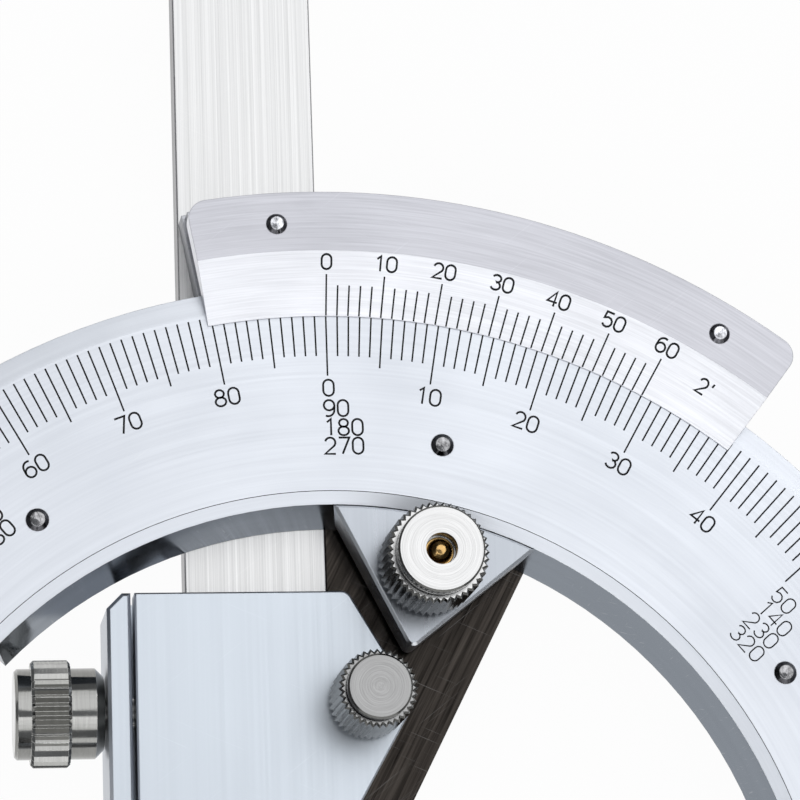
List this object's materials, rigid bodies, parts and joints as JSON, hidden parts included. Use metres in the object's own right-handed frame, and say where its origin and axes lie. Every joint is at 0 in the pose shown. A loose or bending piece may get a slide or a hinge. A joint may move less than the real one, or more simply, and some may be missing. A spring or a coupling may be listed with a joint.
{
  "type": "bevel protractor",
  "caption": "Universal vernier bevel protractor: an arc scale turns on a sector plate that carries a vernier, a brake, a fine-setting pinion and a clamped square and blade.",
  "frame": {"origin": "the measuring vertex: the centre that the main scale turns about, at the level of the scale face", "axes": "+Z out of the face of the scale, towards the reader; +Y from the vertex to the zero of the vernier, along the long leg of the square; +X along the base rule"},
  "size_m": [0.15, 0.16, 0.0279],
  "materials": {
    "scale_steel": "satin chrome, fine grain",
    "vernier_steel": "satin chrome, arc-brushed",
    "blade_steel": "ground lengthwise",
    "plate_steel": "dark, ground and scratched",
    "clamp_steel": "satin chrome, near mirror",
    "bright_steel": "polished nickel",
    "turned_steel": "turned and knurled",
    "brass": "polished",
    "spring_steel": "blued"
  },
  "bodies": {
    "carrier": {"sector_plate": "plate_steel", "vernier_support": "vernier_steel", "vernier_spacer": "vernier_steel", "vernier_plate": "vernier_steel", "vernier_rivets": "bright_steel", "vernier_screws": "bright_steel", "pinion_bush": "brass", "brake_stud": "brass", "brake_spring": "spring_steel", "sector_clamp_body": "clamp_steel", "sector_clamp_pins": "bright_steel"},
    "scale": {"main_scale": "scale_steel", "sector_gear": "plate_steel", "scale_rivets": "bright_steel", "base_rule": "blade_steel", "base_rule_screws": "bright_steel"},
    "pinion": {"pinion_shaft": "plate_steel", "pinion_knob": "turned_steel", "pinion_knob_screw": "bright_steel"},
    "brake_shoe": {"brake_shoe": "bright_steel"},
    "brake_nut": {"brake_nut": "turned_steel"},
    "sector_clamp_cover": {"sector_clamp_cover": "clamp_steel"},
    "sector_clamp_knob": {"sector_clamp_knob": "turned_steel"},
    "sector_clamp_pad": {"sector_clamp_pad": "plate_steel"},
    "sector_clamp_screw": {"sector_clamp_screw": "turned_steel"},
    "square": {"square": "blade_steel", "blade_clamp_body": "clamp_steel", "blade_clamp_pins": "bright_steel"},
    "blade_clamp_cover": {"blade_clamp_cover": "clamp_steel"},
    "blade_clamp_knob": {"blade_clamp_knob": "turned_steel"},
    "blade_clamp_pad": {"blade_clamp_pad": "plate_steel"},
    "blade_clamp_screw": {"blade_clamp_screw": "turned_steel"},
    "blade": {"blade": "blade_steel"}
  },
  "joints": [
    {"name": "scale_swing", "type": "hinge", "parent": "carrier", "child": "scale", "pos_m": [0, 0, 0], "axis": [0, 0, 1], "range_deg": [0, 50]},
    {"name": "pinion_spin", "type": "hinge", "parent": "carrier", "child": "pinion", "pos_m": [0.01553, 0.06229, 0], "axis": [0, 0, 1], "range_deg": [-716, 1]},
    {"name": "brake_shoe_lift", "type": "slide", "parent": "carrier", "child": "brake_shoe", "axis": [0, 0, 1], "range_m": [0, 0.0005]},
    {"name": "brake_nut_turn", "type": "hinge", "parent": "brake_shoe", "child": "brake_nut", "pos_m": [0.00984, 0.04227, 0], "axis": [0, 0, 1], "range_deg": [0, 361]},
    {"name": "sector_clamp_cover_lift", "type": "slide", "parent": "carrier", "child": "sector_clamp_cover", "axis": [0, 0, 1], "range_m": [0, 0.0009]},
    {"name": "sector_clamp_knob_turn", "type": "hinge", "parent": "sector_clamp_cover", "child": "sector_clamp_knob", "pos_m": [0.0033, 0.0285, 0], "axis": [0, 0, 1], "range_deg": [0, 541]},
    {"name": "sector_clamp_pad_slide", "type": "slide", "parent": "carrier", "child": "sector_clamp_pad", "axis": [-1, 0, 0], "range_m": [0, 0.0012]},
    {"name": "sector_clamp_screw_turn", "type": "hinge", "parent": "sector_clamp_pad", "child": "sector_clamp_screw", "pos_m": [-0.03, 0.0285, -0.00785], "axis": [-1, 0, 0], "range_deg": [0, 721]},
    {"name": "square_slide", "type": "slide", "parent": "carrier", "child": "square", "axis": [0, 1, 0], "range_m": [-0.05, 0.012]},
    {"name": "blade_slide", "type": "slide", "parent": "square", "child": "blade", "axis": [1, 0, 0], "range_m": [-0.05, 0.015]},
    {"name": "blade_clamp_cover_lift", "type": "slide", "parent": "square", "child": "blade_clamp_cover", "axis": [0, 0, 1], "range_m": [0, 0.0009]},
    {"name": "blade_clamp_knob_turn", "type": "hinge", "parent": "blade_clamp_cover", "child": "blade_clamp_knob", "pos_m": [-0.0325, -0.00875, 0], "axis": [0, 0, 1], "range_deg": [0, 541]},
    {"name": "blade_clamp_pad_slide", "type": "slide", "parent": "square", "child": "blade_clamp_pad", "axis": [0, -1, 0], "range_m": [0, 0.0012]},
    {"name": "blade_clamp_screw_turn", "type": "hinge", "parent": "blade_clamp_pad", "child": "blade_clamp_screw", "pos_m": [-0.0325, -0.042, -0.00785], "axis": [0, -1, 0], "range_deg": [0, 721]}
  ],
  "couplings": [
    {"joint": "pinion_spin", "follows": "scale_swing", "ratio": -14.286},
    {"joint": "brake_nut_turn", "follows": "brake_shoe_lift", "rad_per_m": 12566},
    {"joint": "sector_clamp_knob_turn", "follows": "sector_clamp_cover_lift", "rad_per_m": 10472},
    {"joint": "sector_clamp_screw_turn", "follows": "sector_clamp_pad_slide", "rad_per_m": 10472},
    {"joint": "blade_clamp_knob_turn", "follows": "blade_clamp_cover_lift", "rad_per_m": 10472},
    {"joint": "blade_clamp_screw_turn", "follows": "blade_clamp_pad_slide", "rad_per_m": 10472}
  ]
}
